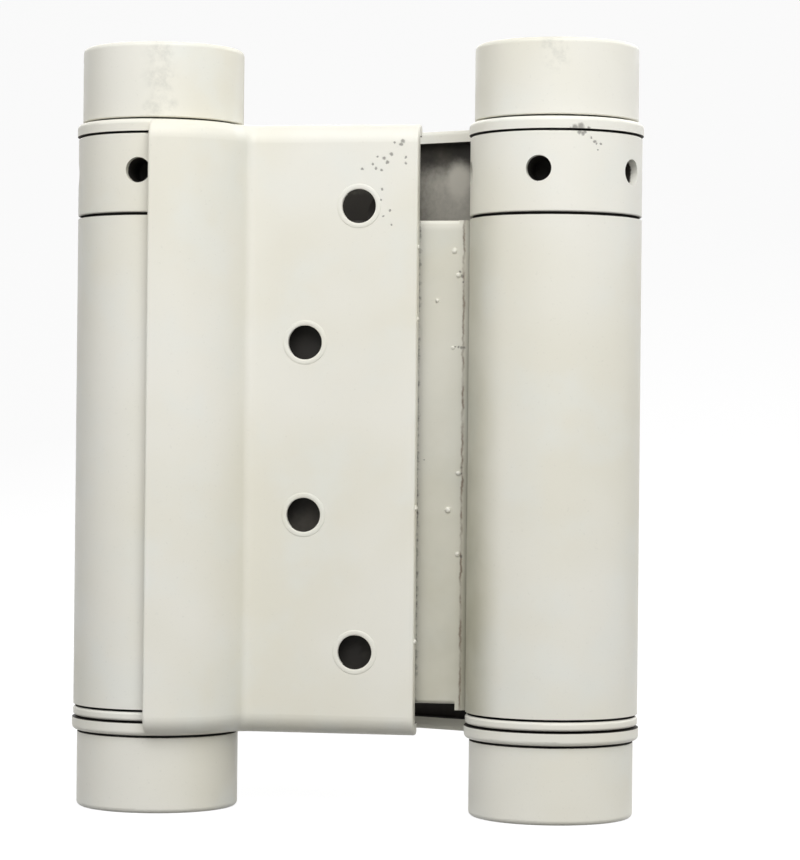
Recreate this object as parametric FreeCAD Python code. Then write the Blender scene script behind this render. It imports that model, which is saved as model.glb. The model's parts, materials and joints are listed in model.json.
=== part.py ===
import FreeCAD, Part
import math
import os

from FreeCAD import Vector

# A double action hinge for a swing door, in millimetres. The front leaf is closed and the rear one is ajar.
# The origin lies on the front leaf's outer face, midway between the two barrels and midway up the hinge.
# X runs from the left barrel to the right one, the front is towards -Y, and Z is up.

# Overall layout
barrel_spacing = 49.3  # between the axes of the two barrels
leaf_height = 75.0  # over the outer faces of a leaf's two ears
cap_height = 9.25  # of an end cap, from its mouth to its closed end

# Centre plate: one sheet, rolled into a barrel at each side of a flat web
barrel_diameter = 21.0
plate_sheet = 1.3
web_bend_radius = 1.5  # hollow side of the bend from the web into the barrel
seam_gap = 0.3  # between the rolled end and the web's face
web_foot = 0.75  # the web's lower edge stands this far above the barrels' feet
web_edge_radius = 0.5  # along the web's upper and lower edges

# Leaf: one sheet, pressed over the barrel, with lips and ears turned in at the top and bottom
leaf_sheet = 1.5
leaf_reach = 32.8  # from the barrel's axis to the free edge
leaf_cut = 1.0  # from the barrel's axis to the edge cut down the front of the barrel
leaf_barrel_gap = 0.3
leaf_web_gap = 1.55
joggle_radius = 1.3  # hollow side of the bend from the wrap into the flat
lip_bend_radius = 2.4  # outside of the bend from the sheet into a lip or an ear
lip_clearance = 0.4  # from the lip's edge to the plane through both axes
ear_overhang = 0.15  # of an ear past the barrel, on the radius
ear_corner_radius = 2.0  # in the corner between the ear and the lip
ear_edge_radius = 0.55  # round the outside of an ear
leaf_edge_radius = 0.3  # on the outer face, along the free edge and the cut edge
rear_leaf_ajar = 22.5  # degrees that the rear leaf stands open

# Screw holes in a leaf, an outer pair near the free edge and an inner pair nearer the barrel
screw_hole_diameter = 4.2
screw_sink_diameter = 6.2  # countersink at the leaf's inner face
outer_pair_inset = 7.3  # from the free edge
outer_pair_spacing = 54.6
inner_pair_inset = 13.85
inner_pair_spacing = 21.15

# Tension collar, a ring on top of the barrel that winds the spring
collar_height = 9.65
collar_gap = 0.35  # open line between the collar and the barrel
spigot_depth = 3.0  # reach of the collar's spigot into the barrel
tommy_hole_diameter = 3.1
tommy_hole_depth = 5.5
tommy_hole_count = 5
tommy_hole_drop = 4.5  # from the collar's top to the holes
left_hole_bearing = -3.5  # degrees from the front towards the right, to the front hole
right_hole_bearing = -5.5

# Foot of the barrel
washer_thickness = 1.1
washer_edge_radius = 0.35
barrel_end_gap = 0.3  # open line between the washer and the barrel
anchor_height = 4.95

# Spindle and journals
spindle_diameter = 6.0
spindle_end_gap = 0.5  # from the spindle's end to the inside of the cap
spindle_end_radius = 0.6
neck_diameter = 10.0  # carries the ear
head_height = 5.0  # carries the cap

# Cap
cap_diameter = 20.0
cap_wall = 1.0
cap_rim_radius = 0.6  # round the closed end
cap_mouth_radius = 0.15

# Spring, of square wire
wire_width = 2.2
coil_bore_gap = 0.8  # between the coil and the inside of the barrel
coil_turns = 10
tang_length = 3.5  # into the anchor and into the collar

# Fits
running_clearance = 0.1  # on the radius, between pieces that turn on each other
press_clearance = 0.02  # on the radius, between pieces pressed together
axial_play = 0.25
spring_play = 0.1
collar_edge_radius = 0.2

# Levels, from the ears inwards and outwards
axis_offset = barrel_spacing / 2
ear_outer = leaf_height / 2
ear_inner = ear_outer - leaf_sheet
cap_mouth = ear_outer + axial_play
cap_end = cap_mouth + cap_height
collar_top = ear_inner - axial_play
collar_bottom = collar_top - collar_height
spigot_bottom = collar_bottom - spigot_depth
barrel_top = collar_bottom - collar_gap
washer_bottom = -ear_inner + axial_play
washer_top = washer_bottom + washer_thickness
barrel_bottom = washer_top + barrel_end_gap
anchor_top = barrel_bottom + anchor_height

# Radii and offsets that follow from the sizes above
barrel_radius = barrel_diameter / 2
bore_radius = barrel_radius - plate_sheet
wrap_inner = barrel_radius + leaf_barrel_gap
wrap_outer = wrap_inner + leaf_sheet
flat_inner = plate_sheet / 2 + leaf_web_gap
flat_outer = flat_inner + leaf_sheet
ear_radius = barrel_radius + ear_overhang
ear_diameter = 2 * ear_radius
head_diameter = cap_diameter - 2 * cap_wall - 2 * press_clearance
coil_radius = bore_radius - coil_bore_gap - wire_width / 2
coil_low = anchor_top + spring_play + wire_width / 2
coil_high = spigot_bottom - spring_play - wire_width / 2
coil_turned = -360 * coil_turns  # bearing of the coil's upper end, which is wound left-handed

tolerance = 1e-4


def rod(diameter, low, high):
    """A round bar on the Z axis between two levels."""
    return Part.makeCylinder(diameter / 2, high - low, Vector(0, 0, low))


def rims(shape, diameter, *levels):
    """The circular edges of this diameter that lie at these levels."""
    found = []
    for edge in shape.Edges:
        circle = edge.Curve
        if not isinstance(circle, Part.Circle):
            continue
        at_level = any(abs(circle.Center.z - level) < tolerance for level in levels)
        if at_level and abs(circle.Radius - diameter / 2) < tolerance:
            found.append(edge)
    return found


def turned_disc(diameter, low, high, edge_radius):
    """A round bar with both its outer edges rounded."""
    bar = rod(diameter, low, high)
    return bar.makeFillet(edge_radius, rims(bar, diameter, low, high))


def polar(radius, bearing, centre=Vector()):
    """The point at this distance and bearing, in degrees from +X, around a centre."""
    angle = math.radians(bearing)
    return centre + Vector(radius * math.cos(angle), radius * math.sin(angle), 0)


def arc(radius, start, end, centre=Vector()):
    """An arc between two bearings, in degrees from +X."""
    middle = (start + end) / 2
    points = [polar(radius, bearing, centre) for bearing in (start, middle, end)]
    return Part.Arc(*points).toShape()


def line(start, end):
    return Part.LineSegment(start, end).toShape()


def path(*points):
    """The straight edges through these points."""
    return [line(start, end) for start, end in zip(points, points[1:])]


def slab(outline, low, high):
    """A closed outline in the XY plane, extruded between two levels."""
    block = Part.Face(Part.Wire(outline)).extrude(Vector(0, 0, high - low))
    block.translate(Vector(0, 0, low))
    return block


def edges_above(block, outline, levels):
    """The edges of a block that repeat these outline edges at these levels."""
    marks = []
    for edge in outline:
        middle = edge.CenterOfMass
        marks += [Vector(middle.x, middle.y, level) for level in levels]
    found = []
    for edge in block.Edges:
        if any((edge.CenterOfMass - mark).Length < tolerance for mark in marks):
            found.append(edge)
    return found


def rolled_barrel(centre):
    """The right barrel and the bend into it, which turns about this centre from the web's end."""
    face = plate_sheet / 2
    axis = Vector(axis_offset, 0, 0)
    bend = math.degrees(math.asin(centre.y / (centre - axis).Length))
    tip = face + seam_gap
    outer_tip = math.degrees(math.asin(tip / barrel_radius)) - 180
    inner_tip = math.degrees(math.asin(tip / bore_radius)) - 180
    bend_inner = web_bend_radius + plate_sheet
    outline = path(Vector(centre.x, -face, 0), Vector(centre.x, face, 0))
    outline.append(arc(web_bend_radius, -90, -bend, centre))
    outline.append(arc(barrel_radius, 180 - bend, outer_tip, axis))
    outline.append(line(polar(barrel_radius, outer_tip, axis), polar(bore_radius, inner_tip, axis)))
    outline.append(arc(bore_radius, inner_tip, 180 - bend, axis))
    outline.append(arc(bend_inner, -bend, -90, centre))
    return slab(outline, barrel_bottom, barrel_top)


def flat_web(half_width):
    """The web, with its upper and lower edges rounded."""
    corner = Vector(-half_width, -plate_sheet / 2, barrel_bottom + web_foot)
    web = Part.makeBox(2 * half_width, plate_sheet, barrel_top - corner.z, corner)
    along = [edge for edge in web.Edges if abs(edge.tangentAt(0).x) > 1 - tolerance]
    return web.makeFillet(web_edge_radius, along)


def centre_plate():
    centre_y = plate_sheet / 2 + web_bend_radius
    centre_reach = barrel_radius + web_bend_radius
    centre = Vector(axis_offset - math.sqrt(centre_reach**2 - centre_y**2), centre_y, 0)
    right = rolled_barrel(centre)
    left = right.copy()
    left.rotate(Vector(), Vector(0, 0, 1), 180)
    return right.fuse([left, flat_web(centre.x)]).removeSplitter()


def wrap_bearing(radius):
    """Bearing of the cut edge on a cylinder of this radius round the barrel's axis."""
    return -math.degrees(math.acos(leaf_cut / radius))


def leaf_profile(radius, bend_radius, flat, centre):
    """The arc round the barrel, the joggle and the start of the flat, on one face of the sheet."""
    bearing = math.degrees(math.atan2(centre.y, centre.x))
    wrap = arc(radius, wrap_bearing(radius), bearing)
    joggle = arc(bend_radius, bearing + 180, 90, centre)
    return [wrap, joggle, line(Vector(centre.x, -flat, 0), Vector(leaf_reach, -flat, 0))]


def screw_hole(x, z):
    """A hole along Y through the flat, countersunk from the inner face."""
    radius = screw_hole_diameter / 2
    sink_radius = screw_sink_diameter / 2
    sink_depth = sink_radius - radius
    hole = Part.makeCylinder(radius, flat_outer, Vector(x, 0, z), Vector(0, -1, 0))
    sink = Part.makeCone(sink_radius, radius, sink_depth, Vector(x, -flat_inner, z), Vector(0, -1, 0))
    return hole.fuse(sink)


def leaf():
    """The front leaf, round a barrel on the Z axis, with its flat towards +X."""
    centre_y = -flat_outer - joggle_radius
    centre = Vector(math.sqrt((wrap_outer + joggle_radius) ** 2 - centre_y**2), centre_y, 0)
    levels = (-ear_outer, ear_outer)

    # The whole pressing as a solid block, with the bends into the lips
    outer = leaf_profile(wrap_outer, joggle_radius, flat_outer, centre)
    corner_y = ear_corner_radius - lip_clearance
    corner = Vector(math.sqrt((ear_radius + ear_corner_radius) ** 2 - corner_y**2), corner_y, 0)
    corner_bearing = math.degrees(math.atan2(corner.y, corner.x))
    back = path(
        Vector(leaf_reach, -flat_outer, 0),
        Vector(leaf_reach, -lip_clearance, 0),
        Vector(corner.x, -lip_clearance, 0),
    )
    back.append(arc(ear_corner_radius, -90, corner_bearing - 180, corner))
    ear_end = -wrap_bearing(ear_radius)
    back.append(arc(ear_radius, corner_bearing, ear_end))
    back.append(line(polar(ear_radius, ear_end), polar(wrap_outer, wrap_bearing(wrap_outer))))
    block = slab(outer + back, *levels)
    block = block.makeFillet(lip_bend_radius, edges_above(block, outer, levels))
    block = block.makeFillet(ear_edge_radius, edges_above(block, back[1:4], levels))

    # The rest of the ears, past the cut edge
    beyond = Part.makeBox(ear_diameter, ear_diameter, leaf_height, Vector(leaf_cut, -ear_radius, -ear_outer))
    ear = turned_disc(ear_diameter, *levels, ear_edge_radius).cut(beyond)
    block = block.fuse(ear)

    # The hollow behind the sheet and between the lips
    inner = leaf_profile(wrap_inner, joggle_radius + leaf_sheet, flat_inner, centre)
    far = leaf_reach + barrel_diameter
    around = path(
        Vector(leaf_reach, -flat_inner, 0),
        Vector(far, -flat_inner, 0),
        Vector(far, far, 0),
        Vector(-far, far, 0),
        Vector(-far, -far, 0),
        Vector(leaf_cut, -far, 0),
        polar(wrap_inner, wrap_bearing(wrap_inner)),
    )
    sheet = block.cut(slab(inner + around, -ear_inner, ear_inner))

    # Holes
    sheet = sheet.cut(rod(neck_diameter + 2 * running_clearance, *levels))
    for inset, spacing in ((outer_pair_inset, outer_pair_spacing), (inner_pair_inset, inner_pair_spacing)):
        for side in (-1, 1):
            sheet = sheet.cut(screw_hole(leaf_reach - inset, side * spacing / 2))

    # The outer edges at both ends of the sheet
    for end in (Vector(leaf_reach, -flat_outer, 0), polar(wrap_outer, wrap_bearing(wrap_outer))):
        ends = [edge for edge in sheet.Edges if (edge.CenterOfMass - end).Length < tolerance]
        sheet = sheet.makeFillet(leaf_edge_radius, ends)
    return sheet


def tang(low, high, bearing, side, clearance):
    """A square bar beside the end of the coil, on one side of this bearing."""
    width = wire_width + 2 * clearance
    corner = Vector(coil_radius - width / 2, -clearance, low)
    bar = Part.makeBox(width, width, high - low, corner)
    if side < 0:
        bar = bar.mirror(Vector(), Vector(0, 1, 0))
    bar.rotate(Vector(), Vector(0, 0, 1), bearing)
    return bar


def upper_tang(clearance):
    low = coil_high - wire_width / 2
    high = spigot_bottom + tang_length + clearance
    return tang(low, high, coil_turned, -1, clearance)


def lower_tang(clearance):
    low = anchor_top - tang_length - clearance
    high = coil_low + wire_width / 2
    return tang(low, high, 0, 1, clearance)


def tension_collar(front_bearing):
    collar = turned_disc(barrel_diameter, collar_bottom, collar_top, collar_edge_radius)
    collar = collar.fuse(rod(2 * (bore_radius - running_clearance), spigot_bottom, collar_bottom))
    collar = collar.cut(rod(spindle_diameter + 2 * running_clearance, spigot_bottom, collar_top))
    height = collar_top - tommy_hole_drop
    for step in range(tommy_hole_count):
        bearing = front_bearing - 90 + step * 360 / tommy_hole_count
        foot = polar(barrel_radius - tommy_hole_depth, bearing) + Vector(0, 0, height)
        outward = polar(1, bearing)
        collar = collar.cut(Part.makeCylinder(tommy_hole_diameter / 2, barrel_radius, foot, outward))
    return collar.cut(upper_tang(running_clearance))


def spring_anchor():
    plug = rod(2 * (bore_radius - press_clearance), barrel_bottom, anchor_top)
    plug = plug.cut(rod(spindle_diameter + 2 * press_clearance, barrel_bottom, anchor_top))
    return plug.cut(lower_tang(running_clearance))


def torsion_spring():
    """A left-hand coil, tightened by turning the collar clockwise, with a straight tang at each end."""
    height = coil_high - coil_low
    rise = Part.makeLongHelix(height / coil_turns, height, coil_radius)
    half = wire_width / 2
    corners = [(-half, -half), (half, -half), (half, half), (-half, half), (-half, -half)]
    section = Part.makePolygon([Vector(coil_radius + x, 0, z) for x, z in corners])
    coil = Part.Wire(rise).makePipeShell([section], True, True)
    coil = coil.mirror(Vector(), Vector(0, 1, 0))
    coil.translate(Vector(0, 0, coil_low))
    return coil.fuse([lower_tang(0), upper_tang(0)])


def bottom_washer():
    washer = turned_disc(barrel_diameter, washer_bottom, washer_top, washer_edge_radius)
    return washer.cut(rod(spindle_diameter + 2 * press_clearance, washer_bottom, washer_top))


def spindle():
    reach = cap_end - cap_wall - spindle_end_gap
    return turned_disc(spindle_diameter, -reach, reach, spindle_end_radius)


def top_journal():
    journal = rod(neck_diameter, ear_inner, cap_mouth)
    journal = journal.fuse(rod(head_diameter, cap_mouth, cap_mouth + head_height))
    return journal.cut(rod(spindle_diameter + 2 * press_clearance, ear_inner, cap_mouth + head_height))


def top_cap():
    cup = rod(cap_diameter, cap_mouth, cap_end)
    cup = cup.makeFillet(cap_rim_radius, rims(cup, cap_diameter, cap_end))
    cup = cup.makeFillet(cap_mouth_radius, rims(cup, cap_diameter, cap_mouth))
    return cup.cut(rod(cap_diameter - 2 * cap_wall, cap_mouth, cap_end - cap_wall))


def upside_down(shape):
    turned = shape.copy()
    turned.rotate(Vector(), Vector(1, 0, 0), 180)
    return turned


def moved(shape, x, y=0.0):
    placed = shape.copy()
    placed.translate(Vector(x, y, 0))
    return placed


def barrel_pieces(side, x, hole_bearing):
    """Everything on one barrel apart from the centre plate and the leaf."""
    pieces = {
        "tension_collar": tension_collar(hole_bearing),
        "spindle": spindle(),
        "spring": torsion_spring(),
        "spring_anchor": spring_anchor(),
        "bottom_washer": bottom_washer(),
        "top_journal": top_journal(),
        "bottom_journal": upside_down(top_journal()),
        "top_cap": top_cap(),
        "bottom_cap": upside_down(top_cap()),
    }
    return {f"{side}_{name}": moved(shape, x) for name, shape in pieces.items()}


def hinge():
    front_leaf = moved(leaf(), -axis_offset)
    rear_leaf = front_leaf.copy()
    rear_leaf.rotate(Vector(), Vector(0, 0, 1), 180)
    rear_leaf.rotate(Vector(axis_offset, 0, 0), Vector(0, 0, 1), -rear_leaf_ajar)
    nodes = {"centre_plate": centre_plate(), "front_leaf": front_leaf, "rear_leaf": rear_leaf}
    nodes.update(barrel_pieces("left", -axis_offset, left_hole_bearing))
    nodes.update(barrel_pieces("right", axis_offset, right_hole_bearing))
    return {name: moved(shape, 0, flat_outer) for name, shape in nodes.items()}


os.makedirs("parts", exist_ok=True)
for name, shape in hinge().items():
    shape.exportStep(f"parts/{name}.step")
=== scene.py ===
import json
import math

import bmesh
import bpy
from mathutils import Matrix, Vector, noise


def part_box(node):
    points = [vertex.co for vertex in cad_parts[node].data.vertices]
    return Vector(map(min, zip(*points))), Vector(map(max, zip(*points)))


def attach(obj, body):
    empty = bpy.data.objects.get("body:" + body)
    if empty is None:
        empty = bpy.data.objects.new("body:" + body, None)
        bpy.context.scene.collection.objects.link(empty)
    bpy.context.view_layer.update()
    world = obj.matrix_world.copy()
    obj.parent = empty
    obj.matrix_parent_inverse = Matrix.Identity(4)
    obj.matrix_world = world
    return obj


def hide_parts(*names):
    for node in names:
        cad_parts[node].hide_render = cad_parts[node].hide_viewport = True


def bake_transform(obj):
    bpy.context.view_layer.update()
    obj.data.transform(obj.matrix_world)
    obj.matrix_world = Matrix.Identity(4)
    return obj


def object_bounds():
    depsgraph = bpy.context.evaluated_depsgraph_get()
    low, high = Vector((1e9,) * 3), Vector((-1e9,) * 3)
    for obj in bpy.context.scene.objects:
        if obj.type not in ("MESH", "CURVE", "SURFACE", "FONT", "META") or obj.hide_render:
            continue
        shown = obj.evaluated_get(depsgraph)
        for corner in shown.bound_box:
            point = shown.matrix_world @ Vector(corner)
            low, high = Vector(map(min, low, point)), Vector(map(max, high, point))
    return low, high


# Looks of a cream enamelled double action hinge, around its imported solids.
# Lengths are in metres, and MM turns millimetres into metres.

MM = 0.001

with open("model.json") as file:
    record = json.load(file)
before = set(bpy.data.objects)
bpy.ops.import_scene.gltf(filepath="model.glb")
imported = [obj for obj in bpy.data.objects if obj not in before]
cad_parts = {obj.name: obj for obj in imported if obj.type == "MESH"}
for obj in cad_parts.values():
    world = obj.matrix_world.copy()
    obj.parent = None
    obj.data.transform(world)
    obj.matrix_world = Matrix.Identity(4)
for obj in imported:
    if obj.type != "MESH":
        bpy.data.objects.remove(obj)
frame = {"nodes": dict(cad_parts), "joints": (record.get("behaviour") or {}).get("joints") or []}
cad_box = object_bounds()
nodes = frame["nodes"]
joints = {joint["name"]: joint for joint in frame["joints"]}

# Places and sizes of the solids that the looks go by
left_axis = Vector(joints["front_leaf_swing"]["pos_m"])
right_axis = Vector(joints["rear_leaf_swing"]["pos_m"])
middle = (left_axis + right_axis) / 2
rear_ajar = -math.radians(joints["rear_leaf_swing"]["range_deg"][0])
rear_turn = math.pi + rear_ajar  # brings the rear leaf's flat to +X of its axis, as the front leaf's is
leaf_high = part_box("front_leaf")[1]
plate_low, plate_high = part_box("centre_plate")
collar_low, collar_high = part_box("right_tension_collar")
cap_low, cap_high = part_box("right_top_cap")
barrel_radius = (collar_high.x - collar_low.x) / 2
cap_radius = (cap_high.x - cap_low.x) / 2
leaf_sheet = 1.5 * MM
leaf_face = -3.7 * MM  # Y of a leaf's outer face, from its barrel's axis
leaf_cut = 1.0 * MM  # X of the cut edge down the front of the barrel, from the axis
web_face = -0.65 * MM  # Y of the web's front face, from the plane through the axes
seam = 13.45 * MM  # X of the line where the right barrel's rolled end meets the web
bore_radius = 9.2 * MM
tommy_hole_level = collar_high.z - 4.5 * MM
window_low = 21 * MM  # Z above which the spray came in over the web, onto a leaf's inner face; below it the face is left dark, which also paints the web's shade there
painted_light_strip_low = 29.9 * MM  # Z above which a lighter band is painted out to the leaf's free edge: painted light, above the shadow of the other leaf's top edge
cap_wall = 1.0 * MM


def colour(red, green, blue):
    """A colour for a shader socket, from its usual 0 to 255 values."""
    channels = []
    for value in (red, green, blue):
        share = value / 255
        channels.append(share / 12.92 if share <= 0.04045 else ((share + 0.055) / 1.055) ** 2.4)
    return (*channels, 1)


CREAM = colour(238, 236, 226)
CREAM_WARM = colour(233, 230, 216)
CREAM_COOL = colour(234, 236, 230)
SMUDGE = colour(176, 177, 168)
CHIP = colour(92, 88, 84)
# Paint misted over unpainted metal; on the leaves' inner faces it also paints light and a highlight
OVERSPRAY_AND_LIGHT = colour(200, 196, 185)
# Grime film, and painted shade on the web and on the rolled barrel ends beside the seam
FILM_AND_SHADE = colour(150, 147, 122)
GRIME = colour(116, 98, 82)
# Unpainted metal, dark also as painted shade in the gaps between parts and in holes
BARE_AND_GAP_SHADE = colour(49, 46, 42)
BARE_WORN = colour(86, 82, 75)


# Sockets of a mix node that are used for colours
MIX_SHARE, MIX_FIRST, MIX_SECOND, MIX_RESULT = 0, 6, 7, 2

# Noise scales of the enamel, in cells for each metre
TONE_SCALE = 45
COOL_SCALE = 110
SPECKLE_SCALE = 2600
SHEEN_SCALE = 260
PEEL_SCALE = 620  # orange peel
WAVE_SCALE = 95  # slow waves under it
SMUDGE_SCALE = 700
MIST_SCALE = 1500
WEAR_SCALE = 130

PEEL_HEIGHT = 0.02 * MM
WAVE_HEIGHT = 0.06 * MM
CHIP_DEPTH = 0.06 * MM
CHIP_SHARE = 0.65
MATT_BARE = 0.2  # added to the roughness where the paint is thin or gone


class Shader:
    """A material with its node tree, and short ways to add the nodes used here."""

    def __init__(self, name):
        self.material = bpy.data.materials.new(name)
        self.material.use_nodes = True
        self.tree = self.material.node_tree
        self.surface = self.tree.nodes["Principled BSDF"]
        coordinates = self.add("ShaderNodeTexCoord")
        self.place = coordinates.outputs["Object"]
        self.normal = coordinates.outputs["Normal"]

    def add(self, kind, **settings):
        node = self.tree.nodes.new(kind)
        for key, value in settings.items():
            setattr(node, key, value)
        return node

    def feed(self, socket, value):
        """Sets a socket, or links it if the value is another node's output."""
        if isinstance(value, bpy.types.NodeSocket):
            self.tree.links.new(value, socket)
        else:
            socket.default_value = value

    def noise(self, scale, detail=2.0, roughness=0.5, place=None):
        node = self.add("ShaderNodeTexNoise")
        self.feed(node.inputs["Vector"], place or self.place)
        self.feed(node.inputs["Scale"], scale)
        self.feed(node.inputs["Detail"], detail)
        self.feed(node.inputs["Roughness"], roughness)
        return node.outputs["Fac"]

    def wobble(self, scale, amount):
        """Noise to both sides of nothing, for ragged edges."""
        return self.math("MULTIPLY", self.math("SUBTRACT", self.noise(scale, 3, 0.6), 0.5), amount)

    def math(self, operation, first, second=0.0):
        node = self.add("ShaderNodeMath", operation=operation)
        self.feed(node.inputs[0], first)
        self.feed(node.inputs[1], second)
        return node.outputs[0]

    def both(self, *masks):
        """Where all of these masks are."""
        result = masks[0]
        for mask in masks[1:]:
            result = self.math("MULTIPLY", result, mask)
        return result

    def either(self, *masks):
        """Where any of these masks is."""
        result = masks[0]
        for mask in masks[1:]:
            result = self.math("MAXIMUM", result, mask)
        return result

    def ramp(self, value, low, high, to_low=0.0, to_high=1.0):
        """A smooth step between two values of the input."""
        node = self.add("ShaderNodeMapRange", interpolation_type="SMOOTHSTEP")
        settings = {
            "Value": value,
            "From Min": low,
            "From Max": high,
            "To Min": to_low,
            "To Max": to_high,
        }
        for key, setting in settings.items():
            self.feed(node.inputs[key], setting)
        return node.outputs["Result"]

    def above(self, value, edge, blur=0.1 * MM):
        return self.ramp(value, edge - blur, edge + blur)

    def below(self, value, edge, blur=0.1 * MM):
        return self.ramp(value, edge - blur, edge + blur, 1.0, 0.0)

    def mix(self, share, first, second):
        node = self.add("ShaderNodeMix", data_type="RGBA")
        self.feed(node.inputs[MIX_SHARE], share)
        self.feed(node.inputs[MIX_FIRST], first)
        self.feed(node.inputs[MIX_SECOND], second)
        return node.outputs[MIX_RESULT]

    def parts(self, vector):
        node = self.add("ShaderNodeSeparateXYZ")
        self.feed(node.inputs[0], vector)
        return node.outputs

    def turned(self, vector, angle):
        """A vector turned about Z."""
        node = self.add("ShaderNodeVectorRotate", rotation_type="Z_AXIS")
        self.feed(node.inputs["Vector"], vector)
        self.feed(node.inputs["Angle"], angle)
        return node.outputs["Vector"]

    def place_from(self, origin, angle=0.0):
        """X, Y and Z of the place on the surface, from an origin and turned about it."""
        node = self.add("ShaderNodeVectorMath", operation="SUBTRACT")
        self.feed(node.inputs[0], self.place)
        self.feed(node.inputs[1], origin)
        return self.parts(self.turned(node.outputs["Vector"], angle))

    def reach(self, x, y):
        """Distance from the Z axis."""
        squares = self.math("ADD", self.math("MULTIPLY", x, x), self.math("MULTIPLY", y, y))
        return self.math("SQRT", squares)

    def reach_from(self, axis):
        x, y, z = self.place_from(axis)
        return self.reach(x, y)

    def near(self, point, reach, place):
        """One at a point, fading to nothing at this distance from it."""
        node = self.add("ShaderNodeVectorMath", operation="DISTANCE")
        self.feed(node.inputs[0], place)
        self.feed(node.inputs[1], point)
        return self.ramp(node.outputs["Value"], 0.35 * reach, reach, 1.0, 0.0)

    def shaken(self, scale, amount):
        """The place on the surface, shifted about by noise, for ragged outlines."""
        texture = self.add("ShaderNodeTexNoise")
        self.feed(texture.inputs["Vector"], self.place)
        self.feed(texture.inputs["Scale"], scale)
        centred = self.add("ShaderNodeVectorMath", operation="SUBTRACT")
        self.feed(centred.inputs[0], texture.outputs["Color"])
        self.feed(centred.inputs[1], (0.5, 0.5, 0.5))
        shift = self.add("ShaderNodeVectorMath", operation="MULTIPLY_ADD")
        self.feed(shift.inputs[0], centred.outputs["Vector"])
        self.feed(shift.inputs[1], (amount, amount, amount))
        self.feed(shift.inputs[2], self.place)
        return shift.outputs["Vector"]

    def spots(self, points, ragged):
        """The places near any of these points, each given with its radius."""
        return self.either(*[self.near(point, radius, ragged) for point, radius in points])


def enamel(name, bare_and_gap_shade=None, dirt_and_shade=(), chips=(), smudges=()):
    """Sprayed cream enamel.

    bare_and_gap_shade gives the places that the paint hardly reached, left dark, which also paints shade in
    the gaps between parts, and the mist of paint there, which on the leaves' inner faces also paints light.
    dirt_and_shade holds functions that give the places where grime has gathered and where shade is painted,
    with its colour.
    chips and smudges are lists of points with radii.
    """
    shader = Shader(name)
    tone = shader.ramp(shader.noise(TONE_SCALE, 2), 0.35, 0.65)
    paint = shader.mix(tone, CREAM, CREAM_WARM)
    cool = shader.ramp(shader.noise(COOL_SCALE, 3), 0.45, 0.75, 0, 0.5)
    paint = shader.mix(cool, paint, CREAM_COOL)
    speckle = shader.ramp(shader.noise(SPECKLE_SCALE, 2, 0.6), 0.62, 0.78, 0, 0.12)
    paint = shader.mix(speckle, paint, SMUDGE)
    rough = shader.ramp(shader.noise(SHEEN_SCALE, 3), 0.3, 0.7, 0.38, 0.5)

    peel = shader.noise(PEEL_SCALE, 2, 0.45)
    height = shader.math("MULTIPLY", peel, PEEL_HEIGHT)
    waves = shader.math("MULTIPLY", shader.noise(WAVE_SCALE, 1), WAVE_HEIGHT)
    height = shader.math("ADD", height, waves)

    if smudges:
        cloud = shader.ramp(shader.noise(SMUDGE_SCALE, 3, 0.65), 0.38, 0.72, 0, 0.3)
        mask = shader.spots(smudges, shader.shaken(420, 2.2 * MM))
        paint = shader.mix(shader.both(mask, cloud), paint, SMUDGE)
    for layer in dirt_and_shade:
        mask, tint = layer(shader)
        paint = shader.mix(mask, paint, tint)
    # Unpainted places, dark also as painted shade in the gaps; the mist over them also paints light on the
    # leaves' inner faces
    if bare_and_gap_shade:
        mask, oversprayed_and_lit = bare_and_gap_shade(shader)
        mist = shader.wobble(MIST_SCALE, 0.9)
        mask = shader.ramp(shader.math("ADD", mask, mist), 0.25, 0.75)
        worn = shader.ramp(shader.noise(WEAR_SCALE, 4, 0.65), 0.45, 0.75)
        under = shader.mix(worn, BARE_AND_GAP_SHADE, BARE_WORN)
        soft_mist = shader.math("MULTIPLY", mist, 0.3)
        spray_and_light = shader.ramp(shader.math("ADD", oversprayed_and_lit, soft_mist), 0.1, 1.0)
        paint = shader.mix(mask, paint, shader.mix(spray_and_light, under, OVERSPRAY_AND_LIGHT))
        rough = shader.math("ADD", rough, shader.math("MULTIPLY", mask, MATT_BARE))
    if chips:
        mask = shader.spots(chips, shader.shaken(2400, 0.34 * MM))
        paint = shader.mix(shader.math("MULTIPLY", mask, CHIP_SHARE), paint, CHIP)
        height = shader.math("SUBTRACT", height, shader.math("MULTIPLY", mask, CHIP_DEPTH))
        rough = shader.math("ADD", rough, shader.math("MULTIPLY", mask, MATT_BARE))

    bump = shader.add("ShaderNodeBump")
    shader.feed(bump.inputs["Distance"], 1.0)
    shader.feed(bump.inputs["Strength"], 0.7)
    shader.feed(bump.inputs["Height"], height)
    shader.feed(shader.surface.inputs["Base Color"], paint)
    shader.feed(shader.surface.inputs["Roughness"], rough)
    shader.feed(shader.surface.inputs["Normal"], bump.outputs["Normal"])
    shader.feed(shader.surface.inputs["Specular IOR Level"], 0.35)
    return shader.material


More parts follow.
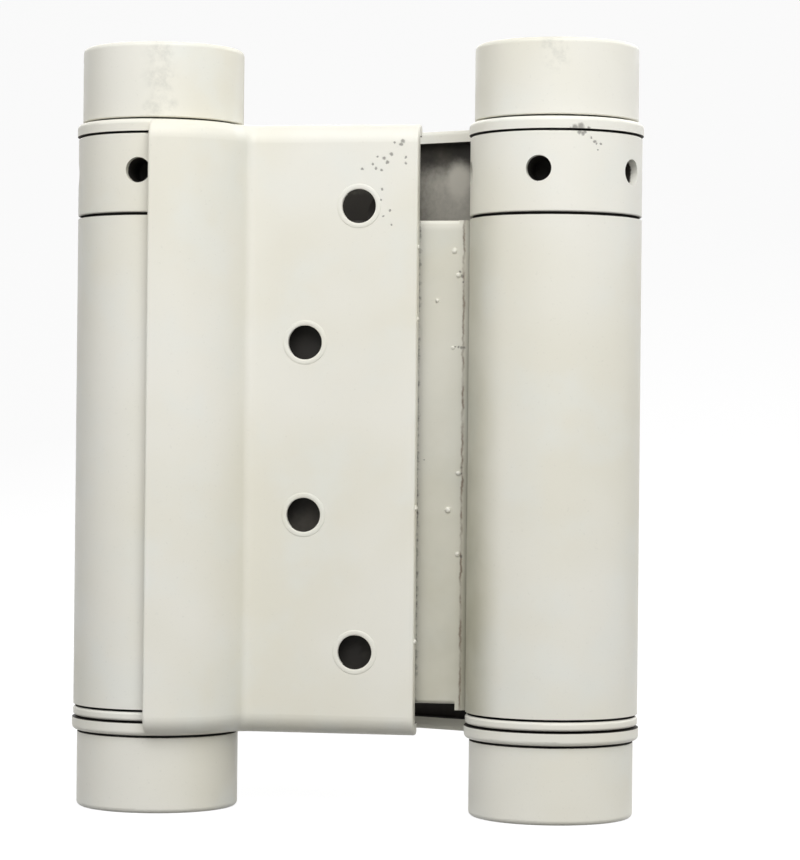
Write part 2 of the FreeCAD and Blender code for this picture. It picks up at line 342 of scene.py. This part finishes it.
# Places that the spray hardly reached, left dark, which also paints shade in the gaps between parts: each
# function gives a mask, and the share of paint misted over it, which on the leaves also paints light
def plate_bare_and_gap_shade(shader):
    """The centre plate under the closed leaves, inside its barrels and on their rims; the dark rims and edges
    also paint shade in the gaps.
    """
    x, y, z = shader.place_from(middle)
    upright = shader.math("ABSOLUTE", shader.parts(shader.normal)[2])
    covered_from = left_axis.x + leaf_cut + 0.7 * MM
    covered_to = leaf_high.x - 0.3 * MM
    cut_blur, free_blur = 0.4 * MM, 1 * MM  # how softly the paint ends under a leaf's two edges
    front = shader.both(
        shader.below(y, 0.6 * web_face, 0.2 * MM),
        shader.above(x, covered_from, cut_blur),
        shader.below(x, covered_to, free_blur),
    )
    rear = shader.both(
        shader.above(y, -0.6 * web_face, 0.2 * MM),
        shader.below(x, -covered_from, cut_blur),
        shader.above(x, -covered_to, free_blur),
    )
    reach = shader.math("MINIMUM", shader.reach_from(left_axis), shader.reach_from(right_axis))
    bore = shader.below(reach, bore_radius + 0.4 * MM)
    rim = shader.both(
        shader.above(upright, 0.7, 0.1),
        shader.below(reach, barrel_radius + 0.2 * MM),
    )
    edge = shader.both(
        shader.above(upright, 0.4, 0.2),
        shader.below(shader.math("ABSOLUTE", x), covered_to, 0.7 * MM),
    )
    return shader.either(front, rear, bore, rim, edge), 0.0


def leaf_bare_and_gap_shade(axis, turn):
    """A leaf's inner side and the faces of its ears, from its barrel's axis with its flat towards +X; dark
    also as painted shade in the gaps at the ears and lips and under the lip, with painted light and a painted
    highlight high on the inner face.
    """
    def bare_and_gap_shade(shader):
        x, y, z = shader.place_from(axis, turn)
        height = shader.math("ABSOLUTE", z)
        facing = shader.parts(shader.turned(shader.normal, turn))[1]
        reach = shader.reach(x, y)
        inner_face = leaf_face + leaf_sheet
        flat = shader.both(shader.above(facing, 0.5, 0.1), shader.below(y, inner_face + 0.5 * MM))
        ear_face = leaf_high.z - leaf_sheet
        wrap = shader.both(
            shader.below(reach, barrel_radius + 0.6 * MM),
            shader.below(height, ear_face - 0.2 * MM),
        )
        ears = shader.either(
            shader.below(reach, cap_radius - 0.9 * MM),
            shader.both(shader.below(reach, cap_radius - 0.2 * MM), shader.below(z, 0)),
        )
        lips = shader.both(
            shader.above(shader.math("ABSOLUTE", shader.parts(shader.normal)[2]), 0.7, 0.1),
            shader.below(height, ear_face + 0.1 * MM),
        )
        # Painted light: a lighter band high up, out to the free edge
        painted_light_strip = shader.math("MULTIPLY", shader.above(z, painted_light_strip_low, 0.4 * MM), 0.25)
        window_spray_and_light = shader.both(
            shader.either(shader.below(x, barrel_radius + 11 * MM, 4 * MM), painted_light_strip),
            shader.above(x, barrel_radius + 2.2 * MM, 1.2 * MM),
            # Painted shade at both ends: fading out low down, in the web's shade, and under the lip, where
            # its shadow falls
            shader.above(z, window_low, 5 * MM),
            shader.below(z, ear_face - 2.8 * MM, 2.2 * MM),
        )
        window_spray_and_light = shader.math("MULTIPLY", window_spray_and_light, 0.73)
        # A tall lighter spot near the barrel: a painted highlight on the inner face, put down as more of the
        # spray
        from_highlight_spot = shader.reach(
            shader.math("SUBTRACT", x, barrel_radius + 4.6 * MM),
            shader.math("MULTIPLY", shader.math("SUBTRACT", z, ear_face - 4.3 * MM), 0.6),
        )
        painted_highlight_spot = shader.both(
            shader.below(from_highlight_spot, 1.1 * MM, 1.1 * MM),
            shader.above(facing, 0.5, 0.1),
        )
        window_spray_and_light = shader.math("ADD", window_spray_and_light, shader.math("MULTIPLY", painted_highlight_spot, 0.5))
        return shader.either(flat, wrap, ears, lips), window_spray_and_light
    return bare_and_gap_shade


def washer_bare_and_gap_shade(axis):
    """A washer, inside its outer edge, dark also as painted shade in the gaps beside it."""
    def bare_and_gap_shade(shader):
        return shader.below(shader.reach_from(axis), barrel_radius - 0.3 * MM), 0.0
    return bare_and_gap_shade


def collar_bare_and_gap_shade(axis):
    """A tension collar, inside its outer edge, and its holes past their mouths: dark also as painted shade in
    the gaps beside it and in the holes.
    """
    def bare_and_gap_shade(shader):
        reach = shader.reach_from(axis)
        from_holes = shader.math("SUBTRACT", shader.parts(shader.place)[2], tommy_hole_level)
        away = shader.above(shader.math("ABSOLUTE", from_holes), 2 * MM)
        faces = shader.both(shader.below(reach, barrel_radius - 0.3 * MM), away)
        return shader.either(faces, shader.below(reach, barrel_radius - 0.9 * MM, 0.4 * MM)), 0.0
    return bare_and_gap_shade


def cap_bare_and_gap_shade(axis):
    """A cap's inside, and its mouth at the foot of the hinge, where the gap to the ear stays open and the
    dark mouth also paints the shade in that gap.
    """
    def bare_and_gap_shade(shader):
        z = shader.parts(shader.place)[2]
        height = shader.math("ABSOLUTE", z)
        mouth = shader.both(
            shader.below(height, cap_low.z + 0.06 * MM, 0.04 * MM),
            shader.below(z, 0),
        )
        inside = shader.both(
            shader.below(shader.reach_from(axis), cap_radius - 0.7 * cap_wall),
            shader.below(height, cap_high.z - 0.7 * cap_wall),
        )
        return shader.either(mouth, inside), 0.0
    return bare_and_gap_shade


def seamed_faces(shader, x, y):
    """The faces with a seam between web and barrel: in front at the right, and behind at the left."""
    return shader.below(shader.math("MULTIPLY", x, y), 0, 1 * MM * MM)


def seam_dirt(shader):
    """Grime along the seams between the web and the barrels' rolled ends."""
    x, y, z = shader.place_from(middle)
    ragged = shader.wobble(900, 0.5 * MM)
    side = shader.math("SUBTRACT", shader.math("ABSOLUTE", x), shader.math("ADD", ragged, seam))
    line = shader.ramp(shader.math("ABSOLUTE", side), 0, 0.24 * MM, 1.0, 0.0)
    patches = shader.ramp(shader.noise(380, 3, 0.6), 0.35, 0.62, 0.3, 0.9)
    return shader.both(seamed_faces(shader, x, y), line, patches), GRIME


def web_film_and_painted_shade(shader):
    """A film of grime with painted shade on the same faces of the web and over the barrels' rolled ends:
    darker further down, towards the seam and over the rolled ends, where shade falls between leaf and barrel.
    """
    x, y, z = shader.place_from(middle)
    across = shader.math("ABSOLUTE", x)
    # Painted shade: strongest at the seam, darker over the rolled ends along the barrel's edge, and darker
    # further down
    fade = shader.ramp(across, seam + 1.5 * MM, seam + 6.5 * MM, 1.0, 0.08)
    rolled = shader.ramp(across, seam - 0.1 * MM, seam + 0.3 * MM, 1.0, 1.55)
    inward = shader.either(
        shader.below(z, plate_high.z - 0.9 * MM, 0.5 * MM),
        shader.above(across, seam),
    )
    depth = shader.ramp(z, plate_low.z, plate_high.z, 0.44, 0.24)
    clouds = shader.ramp(shader.noise(140, 3, 0.6), 0.3, 0.7, 0.9, 1.1)
    return shader.both(seamed_faces(shader, x, y), fade, rolled, inward, depth, clouds), FILM_AND_SHADE


def steel(name, light, dark, roughness, grain):
    """Bare steel with fine marks round the piece's axis, and a little oil staining."""
    shader = Shader(name)
    rings = shader.add("ShaderNodeCombineXYZ")
    shader.feed(rings.inputs[2], shader.math("MULTIPLY", shader.parts(shader.place)[2], grain))
    marks = shader.noise(1.0, 3, 0.6, rings.outputs[0])
    stain = shader.ramp(shader.noise(180, 4, 0.6), 0.4, 0.7)
    bump = shader.add("ShaderNodeBump")
    shader.feed(bump.inputs["Distance"], 1.0)
    shader.feed(bump.inputs["Height"], shader.math("MULTIPLY", marks, 0.006 * MM))
    shader.feed(shader.surface.inputs["Base Color"], shader.mix(stain, light, dark))
    rough = shader.ramp(marks, 0.3, 0.7, roughness - 0.08, roughness + 0.1)
    shader.feed(shader.surface.inputs["Roughness"], rough)
    shader.feed(shader.surface.inputs["Normal"], bump.outputs["Normal"])
    shader.feed(shader.surface.inputs["Metallic"], 1.0)
    return shader.material


def paint_node(node, material):
    for slot in nodes[node].material_slots:
        slot.material = material


def winding_spring(side):
    """A copy of a spring, in place of its node, which is hidden; the spring twists in use, with its lower
    tang in the anchor and its upper one in the collar.
    """
    node = f"{side}_spring"
    spring = bpy.data.objects.new(f"{side}_winding_spring", nodes[node].data.copy())
    bpy.context.scene.collection.objects.link(spring)
    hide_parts(node)
    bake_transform(spring)


def on_round(axis, radius, bearing, z):
    """A point on an upright cylinder, at a bearing in degrees from the front towards the right."""
    angle = math.radians(bearing)
    return axis + Vector((radius * math.sin(angle), -radius * math.cos(angle), z * MM))


def on_leaf(x, z):
    return middle + Vector((x * MM, leaf_face, z * MM))


def on_web(x, z):
    return middle + Vector((x * MM, web_face, z * MM))


# Chips at the front leaf's upper corner: X, Z and radius, in millimetres
LEAF_CHIPS = [
    (6.2, 35.2, 0.38), (6.0, 34.8, 0.32), (4.8, 33.6, 0.32), (3.9, 33.1, 0.3), (4.3, 32.6, 0.32),
    (3.1, 33.3, 0.22), (2.5, 32.4, 0.2), (1.2, 31.8, 0.22), (2.9, 31.9, 0.24), (3.6, 31.7, 0.24),
    (6.6, 33.2, 0.22), (6.6, 32.5, 0.22), (5.2, 35.0, 0.2), (3.7, 29.3, 0.22), (3.6, 28.0, 0.2),
    (4.7, 26.7, 0.22), (3.9, 26.0, 0.2), (4.9, 25.0, 0.18),
]
leaf_chips = [(on_leaf(x, z), radius * MM) for x, z, radius in LEAF_CHIPS]

# Dark specks along the seam at the front of the web: X, Z and radius, in millimetres
SEAM_SPECKS = [
    (13.0, 19.4, 0.22), (13.25, 18.9, 0.24), (13.45, 18.2, 0.2), (12.5, 10.2, 0.16), (12.9, 10.2, 0.2),
    (13.3, 10.1, 0.26), (13.6, 10.1, 0.3), (13.4, -4.6, 0.22), (13.45, -5.3, 0.2), (13.45, -15.5, 0.28),
    (8.75, -3.7, 0.14),
]
seam_specks = [(on_web(x, z), radius * MM) for x, z, radius in SEAM_SPECKS]

# Chips on the right ear and collar: bearing from the front in degrees, then Z and radius in millimetres
EAR_CHIPS = [
    (15.2, 36.0, 0.3), (17.8, 36.1, 0.5), (19.0, 36.05, 0.4), (21.9, 36.2, 0.62), (22.8, 36.0, 0.45),
    (27.2, 36.05, 0.35),
]
COLLAR_CHIPS = [
    (21.2, 35.55, 0.4), (23.4, 35.4, 0.34), (25.0, 35.6, 0.3), (29.3, 34.9, 0.18), (31.8, 34.5, 0.28),
    (32.9, 34.2, 0.2), (36.3, 34.2, 0.2), (34.2, 33.5, 0.15),
]


def on_right_barrel(chips):
    points = []
    for bearing, z, radius in chips:
        points.append((on_round(right_axis, barrel_radius, bearing, z), radius * MM))
    return points


left_cap_smudges = [(on_round(left_axis, cap_radius, 10.4, z), 2.6 * MM) for z in (45.3, 42.3, 38.8)]
right_cap_smudges = [(on_round(right_axis, cap_radius, 4.6, z), 2.4 * MM) for z in (46.0, 44.2)]

# One material for each painted node, because the unpainted places, dark also as painted shade in the gaps,
# are its own
steel_turned = steel("steel_turned", colour(176, 175, 172), colour(128, 126, 122), 0.34, 9000)
steel_oiled = steel("steel_oiled", colour(120, 120, 122), colour(82, 80, 78), 0.4, 4000)
plate_enamel = enamel("plate_enamel", bare_and_gap_shade=plate_bare_and_gap_shade, dirt_and_shade=(web_film_and_painted_shade, seam_dirt), chips=seam_specks)
paint_node("centre_plate", plate_enamel)
paint_node("front_leaf", enamel("front_leaf_enamel", bare_and_gap_shade=leaf_bare_and_gap_shade(left_axis, 0), chips=leaf_chips))
rear_enamel = enamel(
    "rear_leaf_enamel",
    bare_and_gap_shade=leaf_bare_and_gap_shade(right_axis, rear_turn),
    chips=on_right_barrel(EAR_CHIPS),
)
paint_node("rear_leaf", rear_enamel)
wear = {
    "right_tension_collar": {"chips": on_right_barrel(COLLAR_CHIPS)},
    "left_top_cap": {"smudges": left_cap_smudges},
    "right_top_cap": {"smudges": right_cap_smudges},
}
for side, axis in (("left", left_axis), ("right", right_axis)):
    painted = {
        "tension_collar": collar_bare_and_gap_shade,
        "bottom_washer": washer_bare_and_gap_shade,
        "top_cap": cap_bare_and_gap_shade,
        "bottom_cap": cap_bare_and_gap_shade,
    }
    for piece, bare_and_gap_shade in painted.items():
        name = f"{side}_{piece}"
        paint_node(name, enamel(f"{name}_enamel", bare_and_gap_shade=bare_and_gap_shade(axis), **wear.get(name, {})))
    for piece in ("spindle", "spring_anchor", "top_journal", "bottom_journal"):
        paint_node(f"{side}_{piece}", steel_turned)
    paint_node(f"{side}_spring", steel_oiled)
    winding_spring(side)
drop_enamel = enamel("drop_enamel")


def lump(mesh, centre, outward, radius, rise, seed):
    """A droplet of paint: a squashed ball, pushed about by noise, half sunk in the surface."""
    unevenness, lumps_across = 0.22, 1.7
    ball = bmesh.ops.create_icosphere(mesh, subdivisions=3, radius=1.0)
    turn = Vector(outward).to_track_quat("Z", "Y").to_matrix()
    for vertex in ball["verts"]:
        wobble = 1 + unevenness * noise.noise(vertex.co * lumps_across + Vector((seed, 0, 0)))
        shape = Vector((vertex.co.x * radius, vertex.co.y * radius, vertex.co.z * rise)) * wobble
        vertex.co = Vector(centre) + turn @ shape


def smooth_object(name, mesh, material):
    data = bpy.data.meshes.new(name)
    mesh.normal_update()
    mesh.to_mesh(data)
    mesh.free()
    data.polygons.foreach_set("use_smooth", [True] * len(data.polygons))
    data.materials.append(material)
    smooth = bpy.data.objects.new(name, data)
    bpy.context.scene.collection.objects.link(smooth)
    return smooth


def new_piece(name, mesh, material, body):
    piece = smooth_object(name, mesh, material)
    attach(piece, body)


# Droplets on the web and along its seam with the right barrel: X, Z, radius and rise, in millimetres
WEB_DROPLETS = [
    (12.3, 22.0, 0.36, 0.16), (12.8, 19.0, 0.3, 0.2), (10.2, 15.9, 0.24, 0.2), (12.2, 10.1, 0.22, 0.15),
    (13.0, -5.3, 0.3, 0.25), (11.8, -9.8, 0.4, 0.3), (13.0, -15.2, 0.3, 0.25),
]
drops = bmesh.new()
for count, (x, z, radius, rise) in enumerate(WEB_DROPLETS):
    lump(drops, on_web(x, z), (0, -1, 0), radius * MM, rise * MM, count)
new_piece("web_droplets", drops, drop_enamel, "centre")

# Beads of paint on the front leaf's free edge: Z and radius, in millimetres
EDGE_BEADS = [(22.3, 0.3), (13.5, 0.28), (-9.6, 0.34), (-25.9, 0.34)]
bead_set_back = 0.5 * MM  # from the leaf's outer face
bead_outward = (1, -0.4, 0)
bead_rise = 0.7  # as a share of the radius
first_bead_seed = 40  # past the droplets' seeds
beads = bmesh.new()
for count, (z, radius) in enumerate(EDGE_BEADS):
    foot = Vector((leaf_high.x, middle.y + leaf_face + bead_set_back, z * MM))
    lump(beads, foot, bead_outward, radius * MM, bead_rise * radius * MM, first_bead_seed + count)
new_piece("leaf_edge_beads", beads, drop_enamel, "front_leaf")


def raised_ring(mesh, centre, outward, radius, half_width, rise):
    """A low rounded ring, half sunk in the surface."""
    turn = Vector(outward).to_track_quat("Z", "Y").to_matrix()
    around, section = 64, 12
    rows = []
    for step in range(around):
        angle = math.tau * step / around
        row = []
        for mark in range(section):
            lean = math.tau * mark / section
            reach = radius + half_width * math.cos(lean)
            across = Vector((reach * math.cos(angle), reach * math.sin(angle), 0))
            point = across + Vector((0, 0, rise * math.sin(lean)))
            row.append(mesh.verts.new(centre + turn @ point))
        rows.append(row)
    for step in range(around):
        here, there = rows[step], rows[(step + 1) % around]
        for mark in range(section):
            above = (mark + 1) % section
            mesh.faces.new((here[mark], there[mark], there[above], here[above]))


# Paint that drew up round the screw holes: X from the leaf's barrel and Z, in millimetres
SCREW_HOLES = [(25.5, 27.3), (18.95, 10.575), (18.95, -10.575), (25.5, -27.3)]
screw_hole_radius = 2.1 * MM
rim_radius = screw_hole_radius + 0.32 * MM
rim_half_width = 0.3 * MM
rim_rise = 0.055 * MM
leaf_stands = (("front_leaf", left_axis, 0), ("rear_leaf", right_axis, rear_turn))
for body, axis, turn in leaf_stands:
    stand = Matrix.Rotation(-turn, 3, "Z")
    rings = bmesh.new()
    for x, z in SCREW_HOLES:
        centre = axis + stand @ Vector((x * MM, leaf_face, z * MM))
        outward = stand @ Vector((0, -1, 0))
        raised_ring(rings, centre, outward, rim_radius, rim_half_width, rim_rise)
    new_piece(f"{body}_hole_rims", rings, drop_enamel, body)


# Stage
FLOOR_GLOW = 0.88  # where it is seen
FLOOR_MATT = 0.24  # share of the light that it throws back
SKY_LIGHT, SKY_SEEN = 0.13, 0.95  # the world's strength as a light, and as a background

# Lamps: bearing and elevation in degrees, distance and size in metres, and power in watts
LAMPS = {
    "key_light": (15, 42, 0.42, 0.4, 1.9),
    "left_light": (-60, 28, 0.6, 0.5, 0.76),
    "right_light": (95, 14, 0.6, 0.5, 1.0),
    "back_right_light": (145, 30, 0.6, 0.4, 1.1),
    "back_left_light": (-150, 30, 0.6, 0.4, 0.8),
}


def stage_floor():
    """A white sweep: the floor under the hinge, curving up into a backdrop."""
    floor_z = cad_box[0].z
    front, bend_start, bend, bend_steps = -1.2, 0.5, 0.35, 12
    backdrop_top, half_width = 1.6, 1.5
    profile = [(front, 0.0), (bend_start, 0.0)]
    for step in range(1, bend_steps + 1):
        angle = math.pi / 2 * step / bend_steps
        profile.append((bend_start + bend * math.sin(angle), bend * (1 - math.cos(angle))))
    profile.append((bend_start + bend, backdrop_top))
    mesh = bmesh.new()
    rows = []
    for y, z in profile:
        rows.append([mesh.verts.new((x, y, floor_z + z)) for x in (-half_width, half_width)])
    for low, high in zip(rows, rows[1:]):
        mesh.faces.new((low[0], low[1], high[1], high[0]))
    floor = smooth_object("floor", mesh, floor_material())


def seen_directly(tree):
    """One for the rays of the camera and of reflections, and nothing for light that is thrown back."""
    path = tree.nodes.new("ShaderNodeLightPath")
    seen = path.outputs["Is Camera Ray"]
    for other in ("Is Glossy Ray", "Is Transmission Ray"):
        largest = tree.nodes.new("ShaderNodeMath")
        largest.operation = "MAXIMUM"
        tree.links.new(seen, largest.inputs[0])
        tree.links.new(path.outputs[other], largest.inputs[1])
        seen = largest.outputs[0]
    return seen


def floor_material():
    """White where it is seen, and darker for the light that it throws back."""
    material = bpy.data.materials.new("floor_white")
    material.use_nodes = True
    tree = material.node_tree
    tree.nodes.clear()
    seen = seen_directly(tree)
    glow = tree.nodes.new("ShaderNodeEmission")
    glow.inputs["Strength"].default_value = FLOOR_GLOW
    matt = tree.nodes.new("ShaderNodeBsdfDiffuse")
    matt.inputs["Color"].default_value = (FLOOR_MATT, FLOOR_MATT, FLOOR_MATT, 1)
    both = tree.nodes.new("ShaderNodeAddShader")
    tree.links.new(glow.outputs[0], both.inputs[0])
    tree.links.new(matt.outputs[0], both.inputs[1])
    choice = tree.nodes.new("ShaderNodeMixShader")
    tree.links.new(seen, choice.inputs[0])
    tree.links.new(matt.outputs[0], choice.inputs[1])
    tree.links.new(both.outputs[0], choice.inputs[2])
    result = tree.nodes.new("ShaderNodeOutputMaterial")
    tree.links.new(choice.outputs[0], result.inputs["Surface"])
    return material


def softbox(name, bearing, elevation, distance, size, power):
    """A square lamp aimed at the hinge's origin, at a bearing from the front towards the right."""
    light = bpy.data.lights.new(name, "AREA")
    light.size = size
    light.energy = power
    around, up = math.radians(bearing), math.radians(elevation)
    away = Vector((math.sin(around) * math.cos(up), -math.cos(around) * math.cos(up), math.sin(up)))
    lamp = bpy.data.objects.new(name, light)
    lamp.location = distance * away
    lamp.rotation_mode = "QUATERNION"
    lamp.rotation_quaternion = away.to_track_quat("Z", "Y")
    bpy.context.scene.collection.objects.link(lamp)


def stage_light():
    world = bpy.data.worlds.new("studio")
    world.use_nodes = True
    bpy.context.scene.world = world
    tree = world.node_tree
    sky = tree.nodes["Background"]
    sky.inputs["Color"].default_value = (1, 1, 1, 1)
    strength = tree.nodes.new("ShaderNodeMapRange")
    tree.links.new(seen_directly(tree), strength.inputs["Value"])
    strength.inputs["To Min"].default_value = SKY_LIGHT
    strength.inputs["To Max"].default_value = SKY_SEEN
    tree.links.new(strength.outputs["Result"], sky.inputs["Strength"])
    for name, settings in LAMPS.items():
        softbox(name, *settings)


# Camera, as it stood for the photograph
CAMERA_YAW, CAMERA_PITCH, CAMERA_ROLL = -0.1587, -0.003, 0.010
# Of the middle between the axes: right, away and up
CAMERA_OFFSET = Vector((-5.5502, 368.414, 0.1)) * MM
FOCAL_PIXELS = 2981.2
IMAGE_HEIGHT = 860


def stage_camera():
    turn = Matrix.Rotation(CAMERA_YAW, 3, "Z")
    turn = Matrix.Rotation(CAMERA_PITCH, 3, "X") @ turn
    turn = Matrix.Rotation(CAMERA_ROLL, 3, "Y") @ turn
    data = bpy.data.cameras.new("camera")
    data.sensor_width = 36
    data.lens = FOCAL_PIXELS * data.sensor_width / IMAGE_HEIGHT
    data.clip_start = 0.01
    data.clip_end = 20
    camera = bpy.data.objects.new("camera", data)
    bpy.context.scene.collection.objects.link(camera)
    axes = Matrix((turn[0], turn[2], -turn[1])).transposed()
    place = middle - turn.transposed() @ CAMERA_OFFSET
    camera.matrix_world = Matrix.Translation(place) @ axes.to_4x4()
    bpy.context.scene.camera = camera


stage_floor()
stage_light()
stage_camera()
bpy.context.scene.view_settings.view_transform = "Standard"
